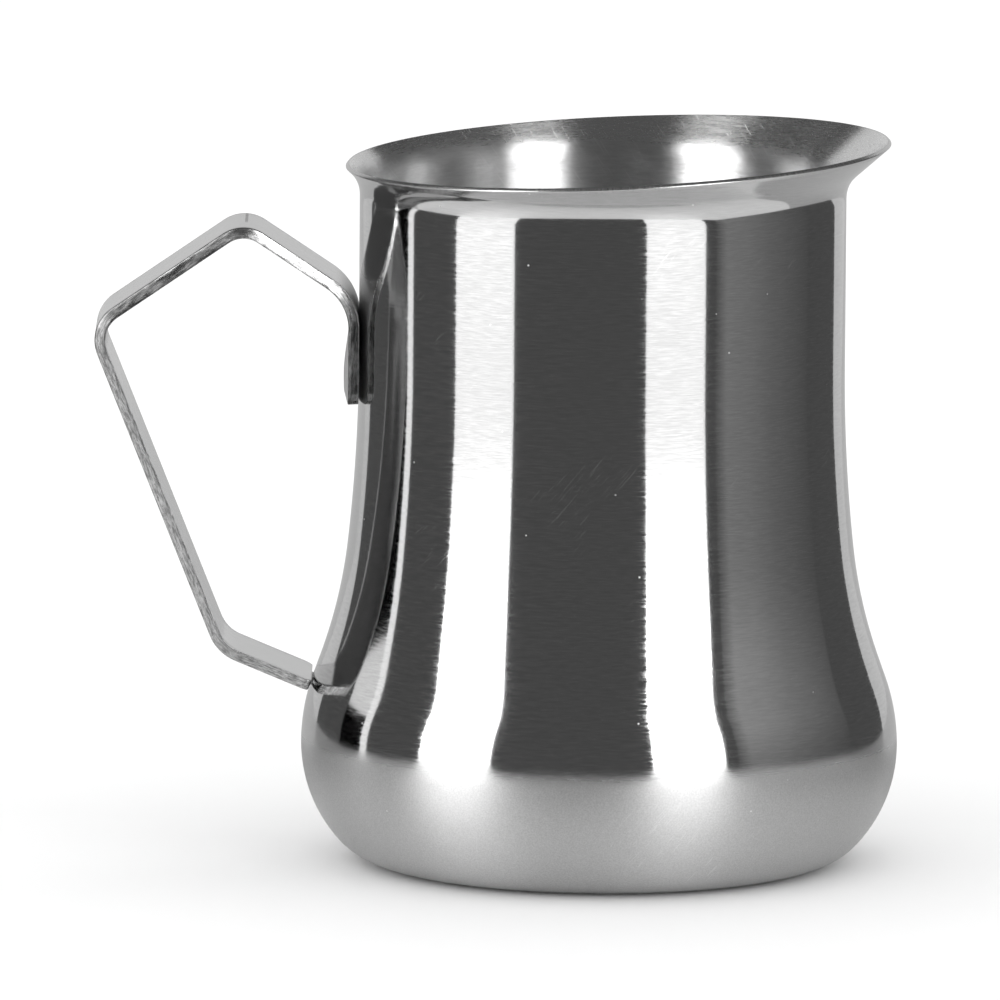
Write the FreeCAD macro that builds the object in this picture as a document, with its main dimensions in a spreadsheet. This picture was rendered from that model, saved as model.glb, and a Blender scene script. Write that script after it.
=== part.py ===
"""Milk frothing jug: a drawn and spun steel body with a handle bent from flat strip.

Frame: +Z up, origin on the jug's axis in the plane it stands on. The rim leans up
towards +X, the pouring side, and the handle stands on the -X side. Millimetres.
"""
import FreeCAD, Part
import math
import os
import Sketcher

# Driving dimensions: alias, value, meaning. Heights are above the standing plane,
# and reaches are distances from the jug's axis.
DIMENSIONS = [
    ("sheet_thickness", 0.62, "wall of the drawn jug"),
    ("belly_radius", 40.0, "widest outer radius"),
    ("belly_height", 15.7, "height of the widest point"),
    ("corner_radius", 9.0, "outer arc from the standing ring up into the belly"),
    ("hip_radius", 19.0, "outer arc just below the widest point"),
    ("shoulder_radius", 26.2, "outer arc just above the widest point"),
    ("shoulder_straight", 3.1, "straight run between shoulder and waist arcs"),
    ("waist_radius", 68.0, "hollow arc above the shoulder"),
    ("sweep_radius", 220.0, "long hollow arc that runs into the neck"),
    ("neck_radius", 32.55, "outer radius of the straight neck"),
    ("neck_start", 67.0, "height where the neck becomes straight"),
    ("lip_height", 89.75, "height where the lip starts to flare"),
    ("lip_radius", 4.5, "outer bend between neck and flare"),
    ("flare_rise", 41.4, "slope of the flare above the horizontal, in degrees"),
    ("blank_radius", 41.5, "radius of the flare before its rim is trimmed"),
    ("rim_back_reach", 34.5, "rim on the handle side"),
    ("rim_front_reach", 38.54, "rim on the pouring side"),
    ("rim_rounding", 0.15, "rounding of the rim's two edges"),
    ("floor_rise", 0.8, "height of the base's raised middle"),
    ("floor_radius", 21.5, "flat radius of the base's raised middle"),
    ("floor_bend", 2.0, "each of the two bends around the raised middle"),
    ("strip_width", 15.9, "width of the handle strip"),
    ("strip_thickness", 1.45, "thickness of the handle strip"),
    ("weld_gap", 0.15, "gap that the weld projections leave on the neck"),
    ("tab_bottom", 62.1, "lower end of the tab, height"),
    ("tab_top", 76.4, "corner between tab and upper arm, height"),
    ("top_reach", 48.0, "handle's top corner, reach"),
    ("top_height", 86.2, "handle's top corner, height"),
    ("side_reach", 68.1, "handle's outer corner, reach"),
    ("side_height", 72.4, "handle's outer corner, height"),
    ("low_reach", 50.7, "handle's lower corner, reach"),
    ("low_height", 29.1, "handle's lower corner, height"),
    ("foot_reach", 38.8, "middle of the strip's lower end, reach"),
    ("foot_height", 24.18, "middle of the strip's lower end, height"),
    ("tab_bend", 7.3, "centre-line bend above the tab"),
    ("top_bend", 4.2, "centre-line bend at the top corner"),
    ("side_bend", 4.5, "centre-line bend at the outer corner"),
    ("low_bend", 5.5, "centre-line bend at the lower corner"),
    ("tab_rounding", 2.0, "rounding of the tab's corners"),
    ("foot_rounding", 1.4, "rounding of the lower end's corners"),
    ("spot_radius", 1.6, "radius of each spot weld"),
    ("spot_low_height", 67.0, "lower spot weld, height"),
    ("spot_high_height", 71.0, "upper spot weld, height"),
    ("foot_weld_width", 4.0, "width of the butt weld at the lower end"),
    ("foot_weld_depth", 1.1, "depth of the butt weld across the strip's thickness"),
]
SIZE = {row[0]: row[1] for row in DIMENSIONS}

# Names for the places that sketch constraints refer to.
ORIGIN = (-1, 1)
FLAT_AXIS = -1
UPRIGHT_AXIS = -2
START, END, CENTRE = 1, 2, 3
UP = FreeCAD.Vector(0, 0, 1)

# Room that the rim cutter leaves around the metal it trims.
CUTTER_REACH = 13.0
CUTTER_INSIDE = 2.5
CUTTER_OUTSIDE = 1.2

# How far a weld's blank reaches into the jug before it is cut back.
WELD_ROOT = 2.0

# Two places nearer than this are the same place.
CLOSE = 0.01


def point(across, height):
    """A point in a sketch."""
    return FreeCAD.Vector(across, height, 0)


def heading(degrees):
    """A unit direction in a sketch, from the sketch's first axis."""
    return point(math.cos(math.radians(degrees)), math.sin(math.radians(degrees)))


def circles_meet(first, first_reach, second, second_reach):
    """The upper of the two points at the given distances from two centres."""
    gap = second - first
    along = (first_reach**2 - second_reach**2 + gap.Length**2) / (2 * gap.Length)
    side = math.sqrt(first_reach**2 - along**2)
    unit = gap / gap.Length
    normal = point(-unit.y, unit.x)
    choices = [first + unit * along + normal * side * turn for turn in (1, -1)]
    return max(choices, key=lambda place: place.y)


def make_sheet(document):
    """Put every driving dimension in a spreadsheet cell with an alias."""
    sheet = document.addObject("Spreadsheet::Sheet", "Dimensions")
    for row, (alias, value, meaning) in enumerate(DIMENSIONS, start=1):
        sheet.set(f"A{row}", meaning)
        sheet.set(f"B{row}", str(value))
        sheet.setAlias(f"B{row}", alias)
    document.recompute()
    return sheet


def add_sketch(body, name, role):
    """Make a sketch on one of the body's own origin planes."""
    planes = [plane for plane in body.Origin.OriginFeatures if plane.Role == role]
    sketch = body.newObject("Sketcher::SketchObject", name)
    sketch.AttachmentSupport = [(planes[0], "")]
    sketch.MapMode = "FlatFace"
    return sketch


def constrain(sketch, kind, *references):
    """Add a constraint that has no size."""
    return sketch.addConstraint(Sketcher.Constraint(kind, *references))


def size_from(sketch, expression, value, kind, *references):
    """Add a size to a sketch, starting at value and bound to an expression."""
    index = sketch.addConstraint(Sketcher.Constraint(kind, *references, value))
    sketch.setExpression(f"Constraints[{index}]", expression)


def size(sketch, alias, kind, *references):
    """Add a size to a sketch, bound to one spreadsheet cell."""
    value = SIZE[alias]
    if kind == "Angle":
        value = math.radians(value)
    size_from(sketch, f"Dimensions.{alias}", value, kind, *references)


class Outline:
    """A chain of lines and arcs in a sketch, each joined to the one before."""

    def __init__(self, sketch, start):
        self.sketch = sketch
        self.place = start
        self.last = None

    def join(self, index, near, far, finish, smooth):
        """Tie a new piece to the end of the chain and move on to its far end."""
        if self.last:
            kind = "Tangent" if smooth else "Coincident"
            constrain(self.sketch, kind, *self.last, index, near)
        self.last = (index, far)
        self.place = finish
        return index

    def line(self, finish, smooth=True):
        """Add a straight run to the chain."""
        index = self.sketch.addGeometry(Part.LineSegment(self.place, finish), False)
        return self.join(index, START, END, finish, smooth)

    def arc(self, centre, finish, alias, hollow=False):
        """Add an arc to the chain, with its radius in a spreadsheet cell."""
        circle = Part.Circle(centre, UP, (finish - centre).Length)
        spokes = [self.place - centre, finish - centre]
        ends = [START, END]
        if hollow:
            spokes.reverse()
            ends.reverse()
        angles = [math.atan2(spoke.y, spoke.x) for spoke in spokes]
        index = self.sketch.addGeometry(Part.ArcOfCircle(circle, *angles), False)
        self.join(index, *ends, finish, True)
        size(self.sketch, alias, "Radius", index)
        return index


def draw_floor(outline):
    """Draw the base: a raised middle, two bends and the flat standing ring."""
    sketch = outline.sketch
    bend = SIZE["floor_bend"]
    turn = math.acos(1 - SIZE["floor_rise"] / (2 * bend))
    edge = point(SIZE["floor_radius"], SIZE["floor_rise"])
    middle = outline.line(edge)
    constrain(sketch, "Horizontal", middle)
    constrain(sketch, "PointOnObject", middle, START, UPRIGHT_AXIS)
    size(sketch, "floor_radius", "DistanceX", *ORIGIN, middle, END)
    size(sketch, "floor_rise", "DistanceY", *ORIGIN, middle, END)
    step = point(math.sin(turn), math.cos(turn)) * bend
    outline.arc(edge - point(0, bend), edge - point(0, bend) + step, "floor_bend", hollow=True)
    ring_start = edge.x + 2 * step.x
    outline.arc(point(ring_start, bend), point(ring_start, 0), "floor_bend")
    ring_end = belly_centres()[1].x
    ring = outline.line(point(ring_end, 0))
    constrain(sketch, "Horizontal", ring)
    constrain(sketch, "PointOnObject", ring, END, FLAT_AXIS)


def belly_centres():
    """Centres of the hip arc and of the corner arc below it."""
    hip = point(SIZE["belly_radius"] - SIZE["hip_radius"], SIZE["belly_height"])
    between = SIZE["hip_radius"] - SIZE["corner_radius"]
    drop = SIZE["belly_height"] - SIZE["corner_radius"]
    corner = point(hip.x + math.sqrt(between**2 - drop**2), SIZE["corner_radius"])
    return hip, corner


def draw_belly(outline):
    """Draw the corner and hip arcs up to the jug's widest point."""
    sketch = outline.sketch
    hip_centre, corner_centre = belly_centres()
    away = corner_centre - hip_centre
    away.normalize()
    outline.arc(corner_centre, hip_centre + away * SIZE["hip_radius"], "corner_radius")
    widest = point(SIZE["belly_radius"], SIZE["belly_height"])
    hip = outline.arc(hip_centre, widest, "hip_radius")
    size(sketch, "belly_radius", "DistanceX", *ORIGIN, hip, END)
    size(sketch, "belly_height", "DistanceY", *ORIGIN, hip, END)
    constrain(sketch, "Horizontal", hip, CENTRE, hip, END)


def draw_waist(outline):
    """Draw the shoulder, its short straight, the hollow waist and the neck."""
    sketch = outline.sketch
    shoulder_centre = point(
        SIZE["belly_radius"] - SIZE["shoulder_radius"], SIZE["belly_height"]
    )
    sweep_centre = point(SIZE["neck_radius"] + SIZE["sweep_radius"], SIZE["neck_start"])
    both_radii = SIZE["shoulder_radius"] + SIZE["waist_radius"]
    centre_gap = math.hypot(both_radii, SIZE["shoulder_straight"])
    waist_centre = circles_meet(
        shoulder_centre, centre_gap, sweep_centre, SIZE["sweep_radius"] - SIZE["waist_radius"]
    )
    line_of_centres = waist_centre - shoulder_centre
    swing = math.atan2(SIZE["shoulder_straight"], both_radii)
    facing = heading(math.degrees(math.atan2(line_of_centres.y, line_of_centres.x) - swing))
    outline.arc(
        shoulder_centre, shoulder_centre + facing * SIZE["shoulder_radius"], "shoulder_radius"
    )
    straight = outline.line(waist_centre - facing * SIZE["waist_radius"])
    size(sketch, "shoulder_straight", "Distance", straight)
    outward = waist_centre - sweep_centre
    outward.normalize()
    waist_end = sweep_centre + outward * SIZE["sweep_radius"]
    outline.arc(waist_centre, waist_end, "waist_radius", hollow=True)
    neck_foot = point(SIZE["neck_radius"], SIZE["neck_start"])
    sweep = outline.arc(sweep_centre, neck_foot, "sweep_radius", hollow=True)
    size(sketch, "neck_radius", "DistanceX", *ORIGIN, sweep, START)
    size(sketch, "neck_start", "DistanceY", *ORIGIN, sweep, START)
    neck = outline.line(point(SIZE["neck_radius"], SIZE["lip_height"]))
    constrain(sketch, "Vertical", neck)
    size(sketch, "lip_height", "DistanceY", *ORIGIN, neck, END)


def flare_start():
    """Where the lip's bend ends and the straight flare begins."""
    centre = point(SIZE["neck_radius"] + SIZE["lip_radius"], SIZE["lip_height"])
    return centre, centre + heading(SIZE["flare_rise"] + 90) * SIZE["lip_radius"]


def flare_height(reach):
    """Height of the flare's outer side at a distance from the axis."""
    start = flare_start()[1]
    return start.y + (reach - start.x) * math.tan(math.radians(SIZE["flare_rise"]))


def draw_lip(outline):
    """Draw the lip's bend and its flare, and close the outline along the axis."""
    sketch = outline.sketch
    centre, start = flare_start()
    outline.arc(centre, start, "lip_radius", hollow=True)
    blank_edge = point(SIZE["blank_radius"], flare_height(SIZE["blank_radius"]))
    flare = outline.line(blank_edge)
    size(sketch, "flare_rise", "Angle", flare)
    size(sketch, "blank_radius", "DistanceX", *ORIGIN, flare, END)
    top = outline.line(point(0, blank_edge.y), smooth=False)
    constrain(sketch, "Horizontal", top)
    constrain(sketch, "PointOnObject", top, END, UPRIGHT_AXIS)
    axis = outline.line(point(0, SIZE["floor_rise"]), smooth=False)
    constrain(sketch, "Coincident", axis, END, 0, START)


def reach_expression(alias):
    """Spreadsheet expression for the flare's height at the reach in a cell."""
    return (
        "Dimensions.lip_height + Dimensions.lip_radius * cos(Dimensions.flare_rise)"
        f" + (Dimensions.{alias} - Dimensions.neck_radius - Dimensions.lip_radius"
        " * (1 - sin(Dimensions.flare_rise))) * tan(Dimensions.flare_rise)"
    )


def draw_rim_cutter(sketch):
    """Draw the cutter that trims the rim square to the sheet, round a leaning axis."""
    back = point(-SIZE["rim_back_reach"], flare_height(SIZE["rim_back_reach"]))
    front = point(SIZE["rim_front_reach"], flare_height(SIZE["rim_front_reach"]))
    middle = (back + front) / 2
    chord_way = front - back
    chord_way.normalize()
    lean = math.degrees(math.atan2(chord_way.y, chord_way.x))
    axis_head = middle + heading(lean + 90) * CUTTER_REACH
    axis = sketch.addGeometry(Part.LineSegment(middle, axis_head), True)
    chord = sketch.addGeometry(Part.LineSegment(back, front), True)
    size(sketch, "rim_back_reach", "DistanceX", chord, START, *ORIGIN)
    size(sketch, "rim_front_reach", "DistanceX", *ORIGIN, chord, END)
    for alias, end, place in (("rim_back_reach", START, back), ("rim_front_reach", END, front)):
        size_from(sketch, reach_expression(alias), place.y, "DistanceY", *ORIGIN, chord, end)
    constrain(sketch, "PointOnObject", axis, START, chord)
    constrain(sketch, "Symmetric", chord, START, chord, END, axis)
    constrain(sketch, "Distance", axis, CUTTER_REACH)
    along = heading(lean + SIZE["flare_rise"])
    through = heading(lean + SIZE["flare_rise"] + 90)
    low = front - through * CUTTER_OUTSIDE
    high = front + through * CUTTER_INSIDE
    corners = [low, low + along * CUTTER_REACH, high + along * CUTTER_REACH, high]
    sides = []
    for number, corner in enumerate(corners):
        following = corners[(number + 1) % len(corners)]
        sides.append(sketch.addGeometry(Part.LineSegment(corner, following), False))
    for number, side in enumerate(sides):
        following = sides[(number + 1) % len(sides)]
        constrain(sketch, "Coincident", side, END, following, START)
    for side, following in zip(sides, sides[1:]):
        constrain(sketch, "Perpendicular", side, following)
    rise = math.radians(SIZE["flare_rise"])
    size_from(sketch, "Dimensions.flare_rise", rise, "Angle", chord, START, sides[0], START)
    constrain(sketch, "Distance", sides[0], CUTTER_REACH)
    constrain(sketch, "Distance", sides[1], CUTTER_INSIDE + CUTTER_OUTSIDE)
    constrain(sketch, "PointOnObject", chord, END, sides[3])
    constrain(sketch, "Distance", sides[0], START, chord, END, CUTTER_OUTSIDE)


def highest_flat_face(shape):
    """Name of the highest horizontal face."""
    names = {}
    for number, face in enumerate(shape.Faces, start=1):
        if isinstance(face.Surface, Part.Plane):
            names[face.CenterOfMass.z] = f"Face{number}"
    return names[max(names)]


def rim_edges(shape):
    """Names of the closed edges on the outside and inside of the trimmed rim."""
    lowest_rim = flare_height(SIZE["rim_back_reach"]) - SIZE["sheet_thickness"]
    names = []
    for number, edge in enumerate(shape.Edges, start=1):
        box = edge.BoundBox
        if box.ZMin > lowest_rim and box.YLength > SIZE["rim_back_reach"]:
            names.append(f"Edge{number}")
    return names


def make_jug(document):
    """Turn the jug's outline, hollow it to sheet thickness and trim its rim."""
    body = document.addObject("PartDesign::Body", "jug_body")
    body.Label = "jug_body"
    outline = add_sketch(body, "jug_outline", "XZ_Plane")
    chain = Outline(outline, point(0, SIZE["floor_rise"]))
    draw_floor(chain)
    draw_belly(chain)
    draw_waist(chain)
    draw_lip(chain)
    turned = body.newObject("PartDesign::Revolution", "turned_blank")
    turned.Profile = outline
    turned.ReferenceAxis = (outline, ["V_Axis"])
    turned.Angle = 360
    document.recompute()
    wall = body.newObject("PartDesign::Thickness", "sheet_wall")
    wall.Base = (turned, [highest_flat_face(turned.Shape)])
    wall.setExpression("Value", "Dimensions.sheet_thickness")
    wall.Reversed = True
    wall.Join = 0
    document.recompute()
    cutter = add_sketch(body, "rim_cutter", "XZ_Plane")
    draw_rim_cutter(cutter)
    trim = body.newObject("PartDesign::Groove", "rim_trim")
    trim.Profile = cutter
    trim.ReferenceAxis = (cutter, ["Axis0"])
    trim.Angle = 360
    document.recompute()
    rounding = body.newObject("PartDesign::Fillet", "rim_rounding")
    rounding.Base = (trim, rim_edges(trim.Shape))
    rounding.setExpression("Radius", "Dimensions.rim_rounding")
    document.recompute()
    return body


def bent_corners():
    """Corners of the handle strip's centre line, from the tab to the lower end."""
    tab_reach = SIZE["neck_radius"] + SIZE["weld_gap"] + SIZE["strip_thickness"] / 2
    tab_formula = (
        "Dimensions.neck_radius + Dimensions.weld_gap + Dimensions.strip_thickness / 2"
    )
    corners = [(tab_reach, tab_formula, "tab_bottom"), (tab_reach, tab_formula, "tab_top")]
    for name in ("top", "side", "low", "foot"):
        alias = f"{name}_reach"
        corners.append((SIZE[alias], f"Dimensions.{alias}", f"{name}_height"))
    return corners


def draw_strip_path(sketch):
    """Draw the strip's centre line: straight runs joined by tangent bends."""
    corners = bent_corners()
    places = [point(-corner[0], SIZE[corner[2]]) for corner in corners]
    guides = []
    for begin, finish in zip(places, places[1:]):
        guides.append(sketch.addGeometry(Part.LineSegment(begin, finish), True))
    for guide, following in zip(guides, guides[1:]):
        constrain(sketch, "Coincident", guide, END, following, START)
    spots = [(guides[0], START)] + [(guide, END) for guide in guides]
    for spot, (reach, formula, height) in zip(spots, corners):
        size_from(sketch, formula, reach, "DistanceX", *spot, *ORIGIN)
        size(sketch, height, "DistanceY", *ORIGIN, *spot)
    bends = ["tab_bend", "top_bend", "side_bend", "low_bend"]
    previous = None
    run_start = places[0]
    for number, guide in enumerate(guides):
        begin, finish = places[number], places[number + 1]
        way = finish - begin
        way.normalize()
        run_end = finish
        if number < len(bends):
            next_way = places[number + 2] - finish
            next_way.normalize()
            turn = way.getAngle(next_way)
            radius = SIZE[bends[number]]
            setback = radius * math.tan(turn / 2)
            run_end = finish - way * setback
            next_start = finish + next_way * setback
        run = sketch.addGeometry(Part.LineSegment(run_start, run_end), False)
        if previous is None:
            constrain(sketch, "Coincident", run, START, guide, START)
        else:
            constrain(sketch, "Tangent", *previous, run, START)
            constrain(sketch, "PointOnObject", run, START, guide)
        if number == len(bends):
            constrain(sketch, "Coincident", run, END, guide, END)
            break
        constrain(sketch, "PointOnObject", run, END, guide)
        left_turn = way.cross(next_way).z > 0
        side = point(-way.y, way.x) if left_turn else point(way.y, -way.x)
        centre = run_end + side * radius
        spokes = [run_end - centre, next_start - centre]
        ends = [START, END]
        if not left_turn:
            spokes.reverse()
            ends.reverse()
        angles = [math.atan2(spoke.y, spoke.x) for spoke in spokes]
        circle = Part.Circle(centre, UP, radius)
        bend = sketch.addGeometry(Part.ArcOfCircle(circle, *angles), False)
        constrain(sketch, "Tangent", run, END, bend, ends[0])
        size(sketch, bends[number], "Radius", bend)
        previous = (bend, ends[1])
        run_start = next_start


def draw_strip_section(sketch):
    """Draw the strip's flat section round the tab's lower end."""
    reach = bent_corners()[0][0]
    half_thickness = SIZE["strip_thickness"] / 2
    half_width = SIZE["strip_width"] / 2
    corners = [
        point(-reach - half_thickness, -half_width),
        point(-reach + half_thickness, -half_width),
        point(-reach + half_thickness, half_width),
        point(-reach - half_thickness, half_width),
    ]
    sides = []
    for number, corner in enumerate(corners):
        following = corners[(number + 1) % len(corners)]
        sides.append(sketch.addGeometry(Part.LineSegment(corner, following), False))
    for number, side in enumerate(sides):
        constrain(sketch, "Coincident", side, END, sides[(number + 1) % len(sides)], START)
        constrain(sketch, "Vertical" if number % 2 else "Horizontal", side)
    size(sketch, "strip_thickness", "DistanceX", sides[0], START, sides[0], END)
    size(sketch, "strip_width", "DistanceY", sides[1], START, sides[1], END)
    half = "Dimensions.strip_width / 2"
    size_from(sketch, half, half_width, "DistanceY", sides[1], START, *ORIGIN)
    inner_reach = reach - half_thickness
    inner_formula = "Dimensions.neck_radius + Dimensions.weld_gap"
    size_from(sketch, inner_formula, inner_reach, "DistanceX", sides[1], START, *ORIGIN)


def corner_edges(shape, reach, height):
    """Names of the strip's two corner edges at an end of its centre line."""
    end = FreeCAD.Vector(-reach, 0, height)
    names = []
    for number, edge in enumerate(shape.Edges, start=1):
        middle = edge.CenterOfMass
        on_side = abs(abs(middle.y) - SIZE["strip_width"] / 2) < CLOSE
        on_end = math.hypot(middle.x - end.x, middle.z - end.z) < CLOSE
        if on_side and on_end:
            names.append(f"Edge{number}")
    return names


def make_handle(document):
    """Sweep the flat strip along its bent centre line and round its end corners."""
    body = document.addObject("PartDesign::Body", "handle_strip")
    body.Label = "handle_strip"
    path = add_sketch(body, "strip_path", "XZ_Plane")
    draw_strip_path(path)
    section = add_sketch(body, "strip_section", "XY_Plane")
    draw_strip_section(section)
    section.setExpression("AttachmentOffset.Base.z", "Dimensions.tab_bottom")
    document.recompute()
    strip = body.newObject("PartDesign::AdditivePipe", "bent_strip")
    strip.Profile = section
    strip.Spine = (path, [])
    document.recompute()
    corners = bent_corners()
    ends = (("tab_rounding", corners[0]), ("foot_rounding", corners[-1]))
    for alias, corner in ends:
        sharp = body.Tip
        rounding = body.newObject("PartDesign::Fillet", alias)
        rounding.Base = (sharp, corner_edges(sharp.Shape, corner[0], SIZE[corner[2]]))
        rounding.setExpression("Radius", f"Dimensions.{alias}")
        document.recompute()
    return body


def make_neck_welds(document, sheet):
    """Two projection welds, each a disc that fills the gap between tab and neck."""
    turned = document.getObject("turned_blank").Shape
    tab_face = sheet.neck_radius + sheet.weld_gap
    inwards = FreeCAD.Vector(1, 0, 0)
    discs = []
    for height in (sheet.spot_low_height, sheet.spot_high_height):
        root = FreeCAD.Vector(-tab_face, 0, height)
        disc = Part.makeCylinder(sheet.spot_radius, 2 * sheet.weld_gap, root, inwards)
        discs.append(disc.cut(turned))
    welds = document.addObject("Part::Feature", "neck_spot_welds")
    welds.Label = "neck_spot_welds"
    welds.Shape = Part.makeCompound([solid for disc in discs for solid in disc.Solids])
    return welds


def make_foot_weld(document, sheet):
    """The butt weld that fills the gap between the strip's lower end and the belly."""
    turned = document.getObject("turned_blank").Shape
    reach = sheet.low_reach - sheet.foot_reach
    drop = sheet.low_height - sheet.foot_height
    slope = math.degrees(math.atan2(drop, reach))
    width = sheet.foot_weld_width
    depth = sheet.foot_weld_depth
    block = Part.makeBox(WELD_ROOT, width, depth, FreeCAD.Vector(0, -width / 2, -depth / 2))
    block.rotate(FreeCAD.Vector(), FreeCAD.Vector(0, 1, 0), slope)
    block.translate(FreeCAD.Vector(-sheet.foot_reach, 0, sheet.foot_height))
    weld = document.addObject("Part::Feature", "foot_weld")
    weld.Label = "foot_weld"
    weld.Shape = block.cut(turned).Solids[0]
    return weld


def check(document, pieces):
    """Stop if anything failed to compute or a piece isn't one or more sound solids."""
    for item in document.Objects:
        if "Invalid" in item.State or "Error" in item.State:
            raise RuntimeError(f"{item.Name} failed: {item.State}")
    for piece in pieces:
        if piece.Shape.isNull() or not piece.Shape.isValid() or not piece.Shape.Solids:
            raise RuntimeError(f"{piece.Label} has no sound shape")


def main():
    """Build every piece, check it and write it to its own file."""
    document = FreeCAD.newDocument("frothing_jug")
    sheet = make_sheet(document)
    jug = make_jug(document)
    handle = make_handle(document)
    neck_welds = make_neck_welds(document, sheet)
    foot_weld = make_foot_weld(document, sheet)
    document.recompute()
    pieces = [jug, handle, neck_welds, foot_weld]
    check(document, pieces)
    os.makedirs("parts", exist_ok=True)
    for piece in pieces:
        piece.Shape.exportStep(f"parts/{piece.Label}.step")
        box = piece.Shape.optimalBoundingBox()
        print(piece.Label, len(piece.Shape.Solids), round(piece.Shape.Volume, 2), box)


main()
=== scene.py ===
"""Looks of the milk frothing jug: its steel body, strip handle, welds, studio and camera.

Metres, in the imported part's own frame: the jug's axis is Z and it stands on z = 0. Its
pouring side is +X, its handle is on -X, and the camera looks along +Y.
"""
import math

import bmesh
import bpy
from mathutils import Matrix, Vector, noise


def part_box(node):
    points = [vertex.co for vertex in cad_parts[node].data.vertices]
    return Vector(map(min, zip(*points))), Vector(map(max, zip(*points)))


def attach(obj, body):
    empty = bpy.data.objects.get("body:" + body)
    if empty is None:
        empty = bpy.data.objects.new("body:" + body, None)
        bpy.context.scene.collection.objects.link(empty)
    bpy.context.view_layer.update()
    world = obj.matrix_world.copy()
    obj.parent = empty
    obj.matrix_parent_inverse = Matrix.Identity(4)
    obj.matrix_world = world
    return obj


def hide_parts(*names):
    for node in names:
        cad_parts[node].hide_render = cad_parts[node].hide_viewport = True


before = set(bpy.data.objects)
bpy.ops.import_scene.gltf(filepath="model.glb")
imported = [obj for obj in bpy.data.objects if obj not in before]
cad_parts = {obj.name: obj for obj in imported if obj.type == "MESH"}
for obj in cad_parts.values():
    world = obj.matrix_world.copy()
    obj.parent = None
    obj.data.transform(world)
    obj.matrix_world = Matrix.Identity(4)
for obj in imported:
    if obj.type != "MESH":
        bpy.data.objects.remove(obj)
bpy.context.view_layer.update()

jug_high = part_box("jug_body")[1]
strip_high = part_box("handle_strip")[1]

# The jug's outline. Heights are above the floor and reaches are from the jug's axis.
SHEET = 0.00062
BELLY_RADIUS = jug_high.x
BELLY_HEIGHT = 0.0157
CORNER_RADIUS = 0.0090
HIP_RADIUS = 0.0190
SHOULDER_RADIUS = 0.0262
SHOULDER_STRAIGHT = 0.0031
WAIST_RADIUS = 0.0680
SWEEP_RADIUS = 0.2200
NECK_RADIUS = 0.03255
NECK_START = 0.0670
LIP_HEIGHT = 0.08975
LIP_RADIUS = 0.0045
FLARE_RISE = math.radians(41.4)
RIM_BACK_REACH = 0.0345
RIM_FRONT_REACH = 0.03854
RIM_ROUNDING = 0.00015
BASE_RISE = 0.0008
BASE_RADIUS = 0.0215
BASE_BEND = 0.0020

# The handle: corners of the strip's centre line, as reach and height, and its bends.
STRIP_HALF_WIDTH = strip_high.y
STRIP_THICKNESS = 0.00145
TAB_TUCK = 0.00010
TAB_REACH = NECK_RADIUS - TAB_TUCK + STRIP_THICKNESS / 2
TAB_TOP = 0.0764
HANDLE_CORNERS = [
    Vector((TAB_REACH, 0.06210)),
    Vector((TAB_REACH, TAB_TOP)),
    Vector((0.0480, 0.0862)),
    Vector((0.0681, 0.0724)),
    Vector((0.0507, 0.0291)),
    Vector((0.0388, 0.02418)),
]
HANDLE_BENDS = [0.0073, 0.0042, 0.0045, 0.0055]
TAB_ROUNDING = 0.0020
FOOT_ROUNDING = 0.0014
EDGE_ROUNDING = 0.00016
TAB_TWIST = math.radians(2.6)

# Mesh density.
COLUMNS = 300
ROW_STEP = 0.0010
ROW_TURN = math.radians(5)
FLARE_ROWS = 8
ROUND_STEPS = 4
STRIP_STEP = 0.0004
END_STEPS = 8
FACE_STEPS = 10
SIDE_STEPS = 5
EDGE_STEPS = 3

# The strip's uneven sheared sides, and the run over which the tab's twist grows.
SHEAR_ALONG = 900.0
SHEAR_THROUGH = 2500.0
SHEAR_DEPTH = 0.00003
SHEAR_SLANT = math.tan(math.radians(21))
TWIST_RUN = 0.008

# Polishing lines: cells round the jug, cells per metre of its side, and their sway.
LINES_AROUND = 16.0
LINES_ALONG = 6000.0
LINE_SWAY = 0.02
INSIDE_SWAY = 0.06
NECK_TIP = 0.5
FLARE_TIP = 0.2

# The noise values that count as the dark and the light of a polishing line or a grain.
LINE_RANGE = (0.3, 0.75)
GRAIN_RANGE = (0.3, 0.7)

# The neck's inner wall is upright, but it is shaded as if it leaned outwards by this much,
# so that its highlights lie as they do on the real jug.
NECK_LIFT = 0.22
LIFT_FADE = 0.0015

# Roughness of the outside, and of the inside of the neck and of the flare.
POLISH_ROUGHNESS = (0.06, 0.12)
NECK_DULLNESS = 0.32
FLARE_DULLNESS = 0.25
INSIDE_SPREAD = 0.05
OUTSIDE_ANISOTROPY = 0.8
INSIDE_ANISOTROPY = 1.0
GRAIN_TURN = 0.25

# Scratches: slant, cells per metre along and across, and how bare the patches are.
OUTSIDE_SCRATCHES = (math.radians(50), 260.0, 7000.0, 0.60)
INSIDE_SCRATCHES = (math.radians(-55), 260.0, 5000.0, 0.42)
SCRATCH_EDGE = (0.66, 0.70)
PATCH_SCALE = 75.0
PATCH_FADE = 0.08
OUTSIDE_WEAR = 0.3
INSIDE_WEAR = 0.5
WORN_ROUGHNESS = 0.6

# Specks: cells per metre, the share of cells that hold one, and a speck's size in cells.
SPECK_CELLS = 600.0
SPECK_SHARE = 0.06
SPECK_SIZE = (0.05, 0.10)

# Steel's own shade, which is neutral.
STEEL = (0.64, 0.64, 0.64, 1)
LINE_DARK = (0.50, 0.50, 0.50, 1)
LINE_LIGHT = (0.76, 0.76, 0.76, 1)
SCRATCH = (0.95, 0.95, 0.95, 1)
INSIDE_DARK = (0.62, 0.62, 0.62, 1)
INSIDE_LIGHT = (0.92, 0.92, 0.92, 1)

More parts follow.
